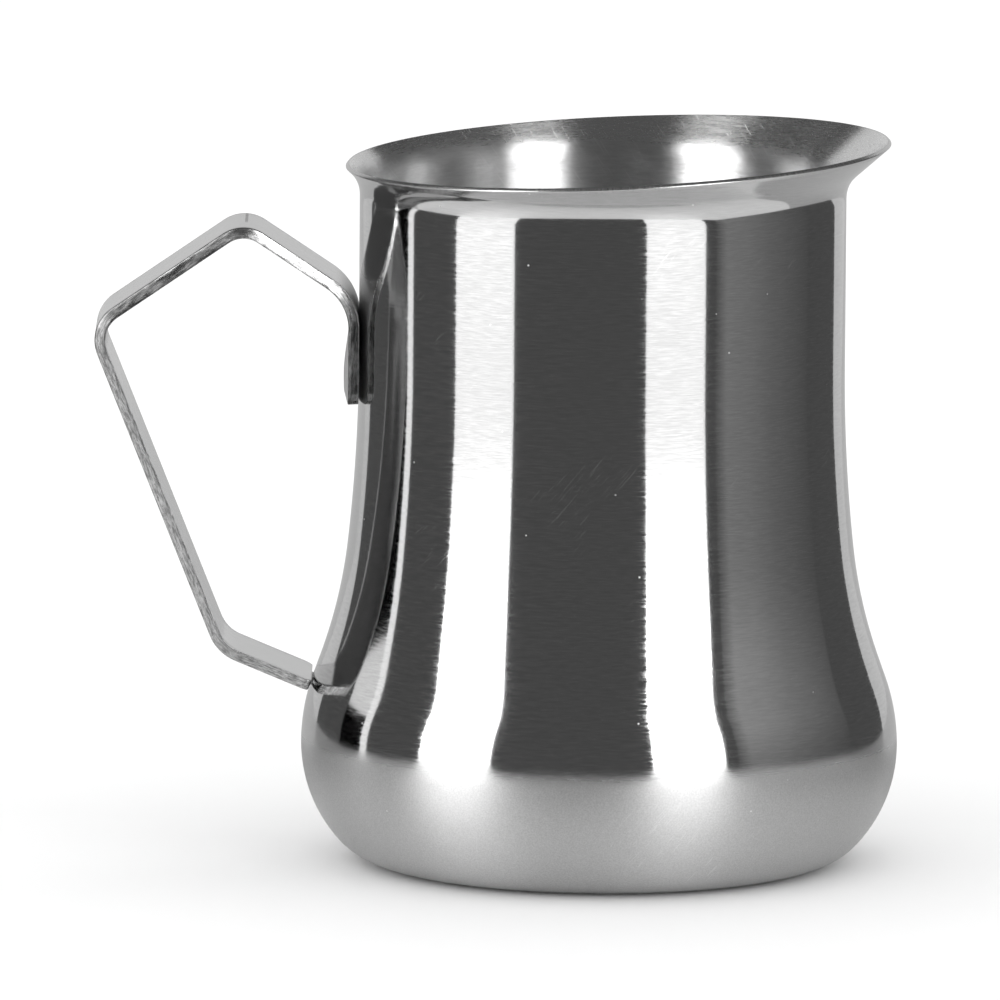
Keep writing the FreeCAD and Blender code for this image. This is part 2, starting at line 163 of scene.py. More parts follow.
# The belly is satin below one height and polished above the other.
SATIN_BELOW = 0.0150
SATIN_ABOVE = 0.0190
SATIN_ROUGHNESS = 0.36
SATIN_GRAIN = 5000.0

# The painted shade at the strip's fold, and the tab's dull face, by distance along the strip.
PAINTED_FOLD_LINE_AT = 0.0308
FOLD_WIDTH = 0.00022
FOLD_END = -0.003
FOLD_PAINTED_SHADE = (0.08, 0.08, 0.08, 1)
DULL_TAB = 0.012
TAB_ROUGHNESS = 0.6

# Painted light and shade on the strip's sides, by share of its length: tab, two upper arms, leg,
# lower run.
STRIP_LENGTH = 0.1133
SIDE_PAINTED_LIGHT = [
    (0.0, 0.28),
    (0.12, 0.30),
    (0.16, 1.0),
    (0.26, 1.0),
    (0.30, 0.4),
    (0.48, 0.4),
    (0.52, 0.5),
    (0.88, 0.5),
    (1.0, 0.7),
]

# The studio. Shares of brightness are given across a card's width or up its height.
CARD_DISTANCE = 0.80
CARD_BOTTOM = -0.80
EVEN = [(0, 1), (1, 1)]
LAMP_ABOVE = [(0, 1), (0.44, 1), (0.56, 3.2), (1, 3.2)]
FILL_ACROSS = [(0, 0.45), (0.1, 1), (0.3, 0.9), (0.55, 0.67), (1, 0.4)]
FILL_UP = [(0, 1), (0.46, 1), (0.60, 1.5), (0.75, 1.5), (1, 0.8)]
SHEET_UP = [(0, 0), (0.527, 0), (0.53, 1), (0.66, 1), (0.663, 0), (1, 0)]
OPEN_LEVEL = 1.15
ROOM_LEVEL = 0.09
FLOOR_REACH = 4.0
FLOOR_DROP = 0.0001
FLOOR_SHADE = 0.95
TABLE_LOW = (-0.26, -0.145)
TABLE_SEAM = 0.03
TABLE_HIGH = (0.195, 0.70)
# The table is one pale board painted as light and shade: lighter in front, darker behind.
TABLE_FRONT_PAINTED_LIGHT = 0.78
TABLE_BACK_PAINTED_SHADE = 0.43
TABLE_ROUGHNESS = 0.3
CEILING_REACH = 0.5
CEILING_HEIGHT = 1.2
CEILING_LEVEL = 0.10

# Cards: name, low and high azimuth in degrees, top, brightness, and its shares across
# and up. Azimuth 0 is towards the camera and +90 is towards +X.
CARDS = [
    ("left_softbox", -72.5, -41.7, 1.0, 1.4, EVEN, LAMP_ABOVE),
    ("right_softbox", 20.0, 48.7, 1.0, 1.4, EVEN, LAMP_ABOVE),
    ("right_fill", 54.0, 112.0, 1.0, 0.24, FILL_ACROSS, FILL_UP),
    ("left_line", -104.0, -100.0, 1.0, 1.2, EVEN, EVEN),
    ("left_sheet", -118.0, -104.0, 1.0, 0.9, EVEN, SHEET_UP),
    ("left_backdrop", -219.0, -142.0, 0.45, 0.64, EVEN, EVEN),
    ("right_backdrop", 141.0, 219.0, 0.45, 0.64, EVEN, EVEN),
]

# Camera: 2.65 m away with a long lens, on a 36 mm sensor, so the view is nearly parallel.
SENSOR = 36.0
LENS = 720.0
CAMERA_PLACE = Vector((-0.01351, -2.6513, 0.44366))
CAMERA_TILT = math.radians(8.478)
CAMERA_ROLL = math.radians(0.398)


def heading(angle):
    """A unit direction in the outline's plane."""
    return Vector((math.cos(angle), math.sin(angle)))


def angle_of(direction):
    """The angle of a direction in the outline's plane."""
    return math.atan2(direction.y, direction.x)


class Outline:
    """Places along the jug's outer side, each with its outward normal."""

    def __init__(self):
        self.samples = []

    def arc(self, centre, radius, start, end, hollow=False):
        """Add an arc; a hollow one has its centre outside the metal."""
        turn = abs(end - start)
        count = math.ceil(max(turn * radius / ROW_STEP, turn / ROW_TURN))
        outward = -1 if hollow else 1
        for step in range(count):
            spoke = heading(start + (end - start) * step / count)
            self.samples.append((centre + spoke * radius, spoke * outward))

    def line(self, start, end, normal):
        """Add a straight run."""
        count = math.ceil((end - start).length / ROW_STEP)
        for step in range(count):
            self.samples.append((start.lerp(end, step / count), normal))


def circles_meet(first, first_reach, second, second_reach):
    """The upper of the two points at the given distances from two centres."""
    gap = second - first
    along = (first_reach**2 - second_reach**2 + gap.length**2) / (2 * gap.length)
    side = math.sqrt(first_reach**2 - along**2)
    unit = gap.normalized()
    normal = Vector((-unit.y, unit.x))
    choices = [first + unit * along + normal * side * turn for turn in (1, -1)]
    return max(choices, key=lambda place: place.y)


def base_outline(outline):
    """The raised middle of the base, two bends and the flat ring that it stands on."""
    turn = math.acos(1 - BASE_RISE / (2 * BASE_BEND))
    edge = Vector((BASE_RADIUS, BASE_RISE))
    down = Vector((0, -1))
    outline.line(Vector((0, BASE_RISE)), edge, down)
    inner_centre = edge - Vector((0, BASE_BEND))
    outline.arc(inner_centre, BASE_BEND, math.pi / 2, math.pi / 2 - turn, hollow=True)
    ring_start = edge.x + 2 * BASE_BEND * math.sin(turn)
    outer_centre = Vector((ring_start, BASE_BEND))
    outline.arc(outer_centre, BASE_BEND, 1.5 * math.pi - turn, 1.5 * math.pi)
    return Vector((ring_start, 0)), down


def belly_outline(outline):
    """The standing ring, the corner and the hip, up to the widest place."""
    ring_start, down = base_outline(outline)
    hip = Vector((BELLY_RADIUS - HIP_RADIUS, BELLY_HEIGHT))
    drop = BELLY_HEIGHT - CORNER_RADIUS
    across = math.sqrt((HIP_RADIUS - CORNER_RADIUS) ** 2 - drop**2)
    corner = Vector((hip.x + across, CORNER_RADIUS))
    outline.line(ring_start, Vector((corner.x, 0)), down)
    joint = angle_of(corner - hip)
    outline.arc(corner, CORNER_RADIUS, -math.pi / 2, joint)
    outline.arc(hip, HIP_RADIUS, joint, 0)


def waist_outline(outline):
    """The shoulder, its short straight, the hollow waist, the sweep and the neck."""
    shoulder = Vector((BELLY_RADIUS - SHOULDER_RADIUS, BELLY_HEIGHT))
    sweep = Vector((NECK_RADIUS + SWEEP_RADIUS, NECK_START))
    both_radii = SHOULDER_RADIUS + WAIST_RADIUS
    centre_gap = math.hypot(both_radii, SHOULDER_STRAIGHT)
    waist = circles_meet(shoulder, centre_gap, sweep, SWEEP_RADIUS - WAIST_RADIUS)
    facing = angle_of(waist - shoulder) - math.atan2(SHOULDER_STRAIGHT, both_radii)
    away = heading(facing)
    outline.arc(shoulder, SHOULDER_RADIUS, 0, facing)
    outline.line(shoulder + away * SHOULDER_RADIUS, waist - away * WAIST_RADIUS, away)
    joint = angle_of(waist - sweep) % (2 * math.pi)
    outline.arc(waist, WAIST_RADIUS, facing + math.pi, joint, hollow=True)
    outline.arc(sweep, SWEEP_RADIUS, joint, math.pi, hollow=True)
    neck_foot = Vector((NECK_RADIUS, NECK_START))
    outline.line(neck_foot, Vector((NECK_RADIUS, LIP_HEIGHT)), Vector((1, 0)))


def lip_outline(outline):
    """The lip's bend. Returns where the straight flare begins."""
    centre = Vector((NECK_RADIUS + LIP_RADIUS, LIP_HEIGHT))
    end = FLARE_RISE + math.pi / 2
    outline.arc(centre, LIP_RADIUS, math.pi, end, hollow=True)
    return centre + heading(end) * LIP_RADIUS


def flare_place(start, run, depth):
    """A place on the flare: run along it from its start, and depth into the sheet."""
    inward = heading(FLARE_RISE + math.pi / 2)
    return start + heading(FLARE_RISE) * run + inward * depth


class RimPlane:
    """The leaning plane that the rim lies in, and the round cut that trims it."""

    def __init__(self, start):
        self.start = start
        reaches = (-RIM_BACK_REACH, RIM_FRONT_REACH)
        rises = [start.y + (abs(reach) - start.x) * math.tan(FLARE_RISE) for reach in reaches]
        back, front = [Vector(pair) for pair in zip(reaches, rises)]
        middle = (back + front) / 2
        lean = angle_of(front - back)
        self.radius = (front - back).length / 2
        self.middle = Vector((middle.x, 0, middle.y))
        self.axis = Vector((-math.sin(lean), 0, math.cos(lean)))

    def run(self, azimuth, depth):
        """How far along the flare the rim's cut is, at an azimuth and a depth."""
        run = RIM_FRONT_REACH - self.start.x
        for attempt in range(6):
            place = flare_place(self.start, run, depth)
            spot = on_azimuth(place, azimuth) - self.middle
            rise = spot.dot(self.axis)
            reach = (spot - self.axis * rise).length
            miss = (reach - self.radius) * math.cos(FLARE_RISE) + rise * math.sin(FLARE_RISE)
            run -= miss
        return run


def on_azimuth(place, azimuth):
    """A place of the outline, turned to an azimuth round the jug's axis."""
    return Vector((place.x * math.cos(azimuth), place.x * math.sin(azimuth), place.y))


def round_corner(before, corner, after):
    """Places that round a corner off, between a place before it and one after it."""
    places = []
    for step in range(ROUND_STEPS + 1):
        share = step / ROUND_STEPS
        places.append(before.lerp(corner, share).lerp(corner.lerp(after, share), share))
    return places


def rim_column(plane, azimuth):
    """The flare's outer side, the rim's edge and the flare's inner side, at an azimuth."""
    outer_run = plane.run(azimuth, 0)
    inner_run = plane.run(azimuth, SHEET)
    outer_corner = flare_place(plane.start, outer_run, 0)
    inner_corner = flare_place(plane.start, inner_run, SHEET)
    across = (inner_corner - outer_corner).normalized() * RIM_ROUNDING
    outer_end = flare_place(plane.start, outer_run - RIM_ROUNDING, 0)
    inner_end = flare_place(plane.start, inner_run - RIM_ROUNDING, SHEET)
    outer_start = flare_place(plane.start, 0, 0)
    inner_start = flare_place(plane.start, 0, SHEET)
    shares = [step / FLARE_ROWS for step in range(FLARE_ROWS)]
    outside = [outer_start.lerp(outer_end, share) for share in shares]
    edge = round_corner(outer_end, outer_corner, outer_corner + across)
    edge += round_corner(inner_corner - across, inner_corner, inner_end)
    inside = [inner_end.lerp(inner_start, share) for share in shares[1:]]
    return outside, edge, inside + [inner_start]


def new_object(name, vertices, faces, face_materials, materials):
    """A smooth-shaded mesh object with a material for each face."""
    mesh = bpy.data.meshes.new(name)
    mesh.from_pydata(vertices, [], faces)
    for material in materials:
        mesh.materials.append(material)
    mesh.polygons.foreach_set("material_index", face_materials)
    mesh.polygons.foreach_set("use_smooth", [True] * len(faces))
    mesh.validate()
    outwards = bmesh.new()
    outwards.from_mesh(mesh)
    bmesh.ops.recalc_face_normals(outwards, faces=outwards.faces)
    outwards.to_mesh(mesh)
    outwards.free()
    made = bpy.data.objects.new(name, mesh)
    bpy.context.scene.collection.objects.link(made)
    return made


def make_jug(outside_steel, inside_steel, edge_steel):
    """The jug's body: the outline turned round the axis, with both sides of the sheet."""
    outline = Outline()
    belly_outline(outline)
    waist_outline(outline)
    flare_start = lip_outline(outline)
    plane = RimPlane(flare_start)
    outer = [place for place, normal in outline.samples]
    inner = [place - normal * SHEET for place, normal in outline.samples]
    vertices = [(0, 0, outer[0].y), (0, 0, inner[0].y)]
    outside_rows = len(outer) - 2 + FLARE_ROWS
    for column in range(COLUMNS):
        azimuth = 2 * math.pi * column / COLUMNS
        outside, edge, inside = rim_column(plane, azimuth)
        places = outer[1:-1] + outside + edge + inside + inner[-2:0:-1]
        vertices += [on_azimuth(place, azimuth) for place in places]
    edge_rows = 2 * (ROUND_STEPS + 1)
    rows = (len(vertices) - 2) // COLUMNS
    faces, kinds = [], []
    for column in range(COLUMNS):
        here = 2 + column * rows
        there = 2 + (column + 1) % COLUMNS * rows
        faces.append((0, there, here))
        kinds.append(0)
        for row in range(rows - 1):
            faces.append((here + row, there + row, there + row + 1, here + row + 1))
            on_edge = outside_rows - 1 <= row < outside_rows + edge_rows - 1
            kinds.append(2 if on_edge else int(row >= outside_rows))
        faces.append((1, here + rows - 1, there + rows - 1))
        kinds.append(1)
    steels = [outside_steel, inside_steel, edge_steel]
    jug = new_object("jug_shell", vertices, faces, kinds, steels)
    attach(jug, "root")
    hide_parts("jug_body")


class BentLine:
    """The strip's centre line: straight runs joined by tangent bends."""

    def __init__(self):
        self.pieces = []
        start = HANDLE_CORNERS[0]
        for number, bend in enumerate(HANDLE_BENDS):
            before, corner, after = HANDLE_CORNERS[number : number + 3]
            way = (corner - before).normalized()
            next_way = (after - corner).normalized()
            turn = math.atan2(way.cross(next_way), way.dot(next_way))
            setback = bend * math.tan(abs(turn) / 2)
            run_end = corner - way * setback
            self.pieces.append(((run_end - start).length, start, way, 0.0))
            self.pieces.append((abs(turn) * bend, run_end, way, math.copysign(1 / bend, turn)))
            start = corner + next_way * setback
        last = HANDLE_CORNERS[-1]
        self.pieces.append(((last - start).length, start, (last - start).normalized(), 0.0))
        self.length = sum(piece[0] for piece in self.pieces)

    def at(self, distance):
        """The place and the direction at a distance from the tab's lower end."""
        for length, start, way, curve in self.pieces:
            if distance <= length:
                break
            distance -= length
        turn = curve * distance
        left = Vector((-way.y, way.x))
        if curve:
            place = start + (way * math.sin(turn) + left * (1 - math.cos(turn))) / curve
        else:
            place = start + way * distance
        return place, way * math.cos(turn) + left * math.sin(turn)


def end_inset(distance, rounding):
    """How far a rounded corner draws a side in, at a distance from the strip's end."""
    short = max(rounding - distance, 0.0)
    return rounding - math.sqrt(rounding**2 - short**2)


def strip_distances(length):
    """Distances of the strip's sections, close together where its ends are rounded."""
    count = round(length / STRIP_STEP)
    distances = {length * (step / count) for step in range(count + 1)}
    for rounding in (EDGE_ROUNDING, TAB_ROUNDING, FOOT_ROUNDING):
        for step in range(1, END_STEPS):
            inset = rounding * (1 - math.cos(math.pi / 2 * step / END_STEPS))
            distances |= {inset, length - inset}
    return sorted(distances)


def strip_section(half_width, half_thickness):
    """Places round a section of the strip, as (across, through), and each place's part."""
    wide, thick = half_width - EDGE_ROUNDING, half_thickness - EDGE_ROUNDING
    places = []
    for turn in range(2):
        side = 1 - 2 * turn
        for step in range(1, FACE_STEPS):
            across = wide * (2 * step / FACE_STEPS - 1)
            places.append((side * across, -side * half_thickness, "face"))
        for quarter in range(2):
            for step in range(EDGE_STEPS + 1):
                angle = math.pi / 2 * (quarter + step / EDGE_STEPS - 1)
                across = wide + EDGE_ROUNDING * math.cos(angle)
                through = (thick if quarter else -thick) + EDGE_ROUNDING * math.sin(angle)
                places.append((side * across, side * through, "side"))
            if quarter == 0:
                for step in range(1, SIDE_STEPS):
                    through = thick * (2 * step / SIDE_STEPS - 1)
                    places.append((side * half_width, side * through, "side"))
    return places


def sheared_offset(distance, across, through):
    """The small unevenness of the strip's sheared sides."""
    spot = Vector((distance * SHEAR_ALONG, through * SHEAR_THROUGH, across))
    return SHEAR_DEPTH * (noise.fractal(spot, 0.8, 2.0, 3) - 0.5)


def make_handle(face_steel, side_steel):
    """The handle: a flat strip along its bent centre line, with sheared sides."""
    line = BentLine()
    tab_length = line.pieces[0][0]
    distances = strip_distances(line.length)
    vertices, marks = [], []
    for distance in distances:
        place, way = line.at(distance)
        left = Vector((-way.y, way.x))
        far = line.length - distance
        half_width = STRIP_HALF_WIDTH
        half_width -= end_inset(distance, TAB_ROUNDING) + end_inset(far, FOOT_ROUNDING)
        half_thickness = STRIP_THICKNESS / 2 - end_inset(min(distance, far), EDGE_ROUNDING)
        untwist = min(max((distance - tab_length) / TWIST_RUN + 1, 0.0), 1.0)
        twist = math.tan(TAB_TWIST) * (1 - untwist * untwist * (3 - 2 * untwist))
        for across, through, part in strip_section(half_width, half_thickness):
            across *= 1 - SHEAR_SLANT * (through + half_thickness) / STRIP_HALF_WIDTH
            if part == "side":
                uneven = sheared_offset(distance, across, through)
                across += math.copysign(min(uneven, 0.0), -across)
            spot = place + left * through
            spot.x += (across + STRIP_HALF_WIDTH) * twist
            vertices.append((-spot.x, across, spot.y))
            marks.append((distance, across, through))
    around = len(vertices) // len(distances)
    parts = [part for across, through, part in strip_section(half_width, half_thickness)]
    faces, kinds = [], []
    for section in range(len(distances) - 1):
        ring = section * around
        next_ring = ring + around
        for step in range(around):
            following = (step + 1) % around
            faces.append((ring + step, ring + following, next_ring + following, next_ring + step))
            kinds.append(int(parts[step] == "side" and parts[following] == "side"))
    faces.append(tuple(range(around)))
    faces.append(tuple(range(len(vertices) - around, len(vertices))))
    kinds += [1, 1]
    handle = new_object("handle_bent_strip", vertices, faces, kinds, [face_steel, side_steel])
    attribute = handle.data.attributes.new("strip_place", "FLOAT_VECTOR", "POINT")
    attribute.data.foreach_set("vector", [number for mark in marks for number in mark])
    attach(handle, "root")
    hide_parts("handle_strip")


class Graph:
    """A short way to add nodes to a material or a world."""

    def __init__(self, owner):
        owner.use_nodes = True
        self.tree = owner.node_tree
        self.tree.nodes.clear()

    def add(self, kind, inputs, output=0, **settings):
        """Add a node, set or link its inputs, and return one of its outputs."""
        node = self.tree.nodes.new("ShaderNode" + kind)
        for name, value in settings.items():
            setattr(node, name, value)
        for name, value in inputs.items():
            if isinstance(value, bpy.types.NodeSocket):
                self.tree.links.new(value, node.inputs[name])
            else:
                node.inputs[name].default_value = value
        return node.outputs[output] if node.outputs else node

    def maths(self, operation, *values):
        """Add a maths node."""
        return self.add("Math", dict(enumerate(values)), operation=operation)

    def vector(self, operation, *values, output=0):
        """Add a vector maths node."""
        return self.add("VectorMath", dict(enumerate(values)), output, operation=operation)

    def blend(self, value, low, high, to_low, to_high):
        """Map a value from one range to another, smoothly and clamped."""
        ranges = {"Value": value, "From Min": low, "From Max": high}
        ranges |= {"To Min": to_low, "To Max": to_high}
        return self.add("MapRange", ranges, interpolation_type="SMOOTHSTEP")

    def noise(self, vector, scale, detail=2.0, roughness=0.5):
        """Add a noise texture."""
        settings = {"Vector": vector, "Scale": scale, "Detail": detail, "Roughness": roughness}
        return self.add("TexNoise", settings)


def turned_place(graph, around, along):
    """Coordinates that run round the jug: long cells round it, short ones along its side."""
    place = graph.add("TexCoord", {}, "Object")
    flat = graph.vector("MULTIPLY", place, (1, 1, 0))
    reach = graph.vector("LENGTH", flat, output="Value")
    unit = graph.vector("NORMALIZE", flat)
    split = graph.add("SeparateXYZ", {"Vector": place}, "Z")
    way = graph.maths("MULTIPLY", graph.maths("ADD", split, reach), along)
    turned = graph.vector("MULTIPLY", unit, (around, around, 0))
    return graph.vector("ADD", turned, graph.add("CombineXYZ", {"Z": way})), unit


def brushed_normal(graph, streak, unit, sway, tip, lift=0.0):
    """The surface's normal, swayed and tipped by each polishing line, and lifted evenly."""
    normal = graph.add("NewGeometry", {}, "Normal")
    tangent = graph.vector("CROSS_PRODUCT", (0, 0, 1), unit)
    centred = graph.maths("SUBTRACT", streak, 0.5)
    amount = graph.maths("MULTIPLY", centred, sway)
    swayed = graph.vector("SCALE", tangent)
    graph.tree.links.new(amount, swayed.node.inputs["Scale"])
    rise = graph.maths("MULTIPLY_ADD", centred, tip, lift)
    tipped = graph.add("CombineXYZ", {"Z": rise})
    moved = graph.vector("ADD", swayed, tipped)
    return graph.vector("NORMALIZE", graph.vector("ADD", normal, moved))


def steel(name, graph_maker):
    """A steel material with what graph_maker gives it over plain steel."""
    material = bpy.data.materials.new(name)
    graph = Graph(material)
    inputs = {"Base Color": STEEL, "Metallic": 1.0}
    inputs.update(graph_maker(graph))
    shader = graph.add("BsdfPrincipled", inputs)
    graph.add("OutputMaterial", {"Surface": shader})
    return material


def object_height(graph):
    """Height above the floor."""
    return graph.add("SeparateXYZ", {"Vector": graph.add("TexCoord", {}, "Object")}, "Z")


def mix_colours(graph, factor, first, second):
    """Mix two colours."""
    return graph.add("Mix", {"Factor": factor, 6: first, 7: second}, 2, data_type="RGBA")


def ring_grain(graph, anisotropy):
    """Gloss that is drawn out across the polishing lines, which run round the jug."""
    return {
        "Tangent": graph.add("Tangent", {}, direction_type="RADIAL", axis="Z"),
        "Anisotropic": anisotropy,
        "Anisotropic Rotation": GRAIN_TURN,
    }


def scratches(graph, slant, along, across, bareness):
    """A mask of short straight scratches, gathered in a few patches."""
    place = graph.add("TexCoord", {}, "Object")
    turn = {"Vector": place, "Angle": slant}
    turned = graph.add("VectorRotate", turn, rotation_type="Y_AXIS")
    laid = graph.vector("MULTIPLY", turned, (along, along, across))
    marks = graph.blend(graph.noise(laid, 1.0, 1.0), *SCRATCH_EDGE, 0.0, 1.0)
    spread = graph.noise(place, PATCH_SCALE, 1.0)
    patches = graph.blend(spread, bareness, bareness + PATCH_FADE, 0.0, 1.0)
    return graph.maths("MULTIPLY", marks, patches)


def specks(graph):
    """A mask of small round specks, one in a few of the cells."""
    place = graph.add("TexCoord", {}, "Object")
    distance = graph.add("TexVoronoi", {"Vector": place, "Scale": SPECK_CELLS})
    near = graph.blend(distance, *SPECK_SIZE, 1.0, 0.0)
    draw = graph.add("SeparateColor", {"Color": distance.node.outputs["Color"]})
    chosen = graph.maths("LESS_THAN", draw, SPECK_SHARE)
    return graph.maths("MULTIPLY", near, chosen)


def polished_outside(graph):
    """Spun and polished steel, satin low on the belly: fine lines, scratches and specks."""
    place, unit = turned_place(graph, LINES_AROUND, LINES_ALONG)
    fine = graph.noise(place, 1.0, 3.0, 0.65)
    slanted = graph.maths("MULTIPLY", scratches(graph, *OUTSIDE_SCRATCHES), OUTSIDE_WEAR)
    wear = graph.maths("MAXIMUM", slanted, specks(graph))
    satin = graph.blend(object_height(graph), SATIN_BELOW, SATIN_ABOVE, 1.0, 0.0)
    polish = graph.blend(fine, *LINE_RANGE, *POLISH_ROUGHNESS)
    roughness = graph.maths("MULTIPLY_ADD", satin, SATIN_ROUGHNESS, polish)
    grain = graph.noise(graph.add("TexCoord", {}, "Object"), SATIN_GRAIN, 1.0)
    tone = graph.add("Mix", {"Factor": satin, 2: fine, 3: grain})
    colour = mix_colours(graph, tone, LINE_DARK, LINE_LIGHT)
    worn = graph.maths("MULTIPLY", wear, WORN_ROUGHNESS)
    return {
        "Base Color": mix_colours(graph, wear, colour, SCRATCH),
        "Roughness": graph.maths("MAXIMUM", roughness, worn),
        "Normal": brushed_normal(graph, fine, unit, LINE_SWAY, LINE_SWAY),
    } | ring_grain(graph, OUTSIDE_ANISOTROPY)


def brushed_inside(graph):
    """The inside: the same lines, coarser, crossed by slanting scratches."""
    place, unit = turned_place(graph, LINES_AROUND, LINES_ALONG / 2)
    fine = graph.noise(place, 1.0, 3.0, 0.65)
    lean = graph.noise(turned_place(graph, LINES_AROUND, 3 * LINES_ALONG)[0], 1.0, 1.0)
    height = object_height(graph)
    bend = (LIP_HEIGHT, LIP_HEIGHT + LIP_RADIUS)
    tip = graph.blend(height, *bend, NECK_TIP, FLARE_TIP)
    dullness = graph.blend(height, *bend, NECK_DULLNESS, FLARE_DULLNESS)
    fade = (LIP_HEIGHT - LIFT_FADE, LIP_HEIGHT + LIFT_FADE)
    lift = graph.blend(height, *fade, NECK_LIFT, 0.0)
    spread = graph.blend(fine, *LINE_RANGE, 0.0, INSIDE_SPREAD)
    wear = graph.maths("MULTIPLY", scratches(graph, *INSIDE_SCRATCHES), INSIDE_WEAR)
    colour = mix_colours(graph, fine, INSIDE_DARK, INSIDE_LIGHT)
    return {
        "Base Color": mix_colours(graph, wear, colour, SCRATCH),
        "Roughness": graph.maths("MAXIMUM", graph.maths("ADD", spread, dullness), wear),
        "Normal": brushed_normal(graph, lean, unit, INSIDE_SWAY, tip, lift),
    } | ring_grain(graph, INSIDE_ANISOTROPY)


def cut_edge(graph):
    """The rim's cut edge: bright, with faint marks across it."""
    place = turned_place(graph, 2000, 300)[0]
    return {"Roughness": graph.blend(graph.noise(place, 1.0), *GRAIN_RANGE, 0.22, 0.28)}


def strip_place(graph, along, across, through):
    """Coordinates on the strip: along it, across it and through it, each scaled."""
    place = graph.add("Attribute", {}, "Vector", attribute_name="strip_place")
    return graph.vector("MULTIPLY", place, (along, across, through))


def strip_face(graph):
    """The strip's rolled faces: fine grain along the strip, and a line of painted shade across
    its fold.
    """
    grain = graph.noise(strip_place(graph, 500, 6000, 6000), 1.0, 3.0)
    relief = graph.add("Bump", {"Strength": 0.15, "Distance": 0.000006, "Height": grain})
    place = strip_place(graph, 1, 1, 1)
    distance = graph.add("SeparateXYZ", {"Vector": place}, "X")
    dull = graph.blend(distance, DULL_TAB, DULL_TAB + TWIST_RUN, TAB_ROUGHNESS, 0.0)
    # A near-black line of painted shade across the strip at its fold.
    off_fold_line = graph.maths("ABSOLUTE", graph.maths("SUBTRACT", distance, PAINTED_FOLD_LINE_AT))
    mark = graph.blend(off_fold_line, FOLD_WIDTH / 2, FOLD_WIDTH, 1.0, 0.0)
    across = graph.add("SeparateXYZ", {"Vector": place}, "Y")
    painted_fold_shade = graph.maths("MULTIPLY", mark, graph.blend(across, FOLD_END, 0.0, 0.0, 1.0))
    return {
        "Base Color": mix_colours(graph, painted_fold_shade, STEEL, FOLD_PAINTED_SHADE),
        "Roughness": graph.maths("MAXIMUM", graph.blend(grain, *GRAIN_RANGE, 0.10, 0.20), dull),
        "Normal": relief,
    }


def strip_side(graph):
    """The strip's sheared sides: torn lengthwise, mottled, with painted light and shade on each
    arm, brightest on one.
    """
    tears = graph.noise(strip_place(graph, 700, 0, 5000), 1.0, 4.0, 0.7)
    patches = graph.noise(strip_place(graph, 250, 0, 600), 1.0)
    split = graph.add("SeparateXYZ", {"Vector": strip_place(graph, 1, 1, 1)}, "X")
    # Painted light and shade along the strip, a different level on each arm.
    ramp = graph.add("ValToRGB", {"Fac": graph.maths("DIVIDE", split, STRIP_LENGTH)})
    set_stops(ramp, SIDE_PAINTED_LIGHT)
    # The torn grain times the painted light and shade of each arm.
    mottled_and_painted_light = graph.maths("MULTIPLY", graph.blend(tears, 0.38, 0.62, 0.40, 1.0), ramp)
    relief = graph.add("Bump", {"Strength": 0.4, "Distance": 0.00003, "Height": tears})
    return {
        "Base Color": mottled_and_painted_light,
        "Roughness": graph.blend(patches, 0.35, 0.65, 0.2, 0.4),
        "Normal": relief,
    }


def weld_surface(graph):
    """Weld metal: duller and grainy."""
    place = graph.add("TexCoord", {}, "Object")
    grain = graph.noise(place, 4000, 3.0)
    relief = graph.add("Bump", {"Strength": 0.5, "Distance": 0.00003, "Height": grain})
    return {"Roughness": graph.blend(grain, *GRAIN_RANGE, 0.35, 0.6), "Normal": relief}


def facing_camera(azimuth):
    """A level direction: azimuth 0 points to the camera, and it grows towards +X."""
    return Vector((math.sin(azimuth), -math.cos(azimuth), 0))


def set_stops(ramp, stops):
    """Give a colour ramp grey stops, as (position, shade)."""
    elements = ramp.node.color_ramp.elements
    elements[0].position, elements[1].position = 0.0, 1.0
    for share, shade in stops[1:-1]:
        elements.new(share)
    for element, (share, shade) in zip(elements, stops):
        element.color = (shade, shade, shade, 1)


def glow(name, brightness, across, upward):
    """Light from a card, with its shares of brightness across its width and up its height."""
    material = bpy.data.materials.new(name)
    graph = Graph(material)
    spread = graph.add("UVMap", {}, uv_map="card")
    level = brightness
    for axis, stops in (("X", across), ("Y", upward)):
        ramp = graph.add("ValToRGB", {"Fac": graph.add("SeparateXYZ", {"Vector": spread}, axis)})
        set_stops(ramp, stops)
        level = graph.maths("MULTIPLY", ramp, level)
    light = graph.add("Emission", {"Color": (1, 1, 1, 1), "Strength": level})
    graph.add("OutputMaterial", {"Surface": light})
    return material


def only_in_reflections(thing):
    """Hide a part of the studio from the camera, pale surfaces and shadows."""
    thing.visible_camera = False
    thing.visible_diffuse = False
    thing.visible_shadow = False


def make_card(name, low_degrees, high_degrees, top, brightness, across, upward):
    """An upright card on a circle round the jug, seen only in reflections."""
    count = math.ceil(high_degrees - low_degrees)
    vertices, shares = [], []
    for step in range(count + 1):
        share = step / count
        azimuth = math.radians(low_degrees + (high_degrees - low_degrees) * share)
        spot = facing_camera(azimuth) * CARD_DISTANCE
        vertices += [(spot.x, spot.y, CARD_BOTTOM), (spot.x, spot.y, top)]
        shares += [share, share]
    faces = [(2 * step, 2 * step + 2, 2 * step + 3, 2 * step + 1) for step in range(count)]
    mesh = bpy.data.meshes.new(name)
    mesh.from_pydata(vertices, [], faces)
    layer = mesh.uv_layers.new(name="card")
    for loop in mesh.loops:
        layer.data[loop.index].uv = (shares[loop.vertex_index], loop.vertex_index % 2)
    mesh.materials.append(glow(name, brightness, across, upward))
    card = bpy.data.objects.new(name, mesh)
    bpy.context.scene.collection.objects.link(card)
    only_in_reflections(card)


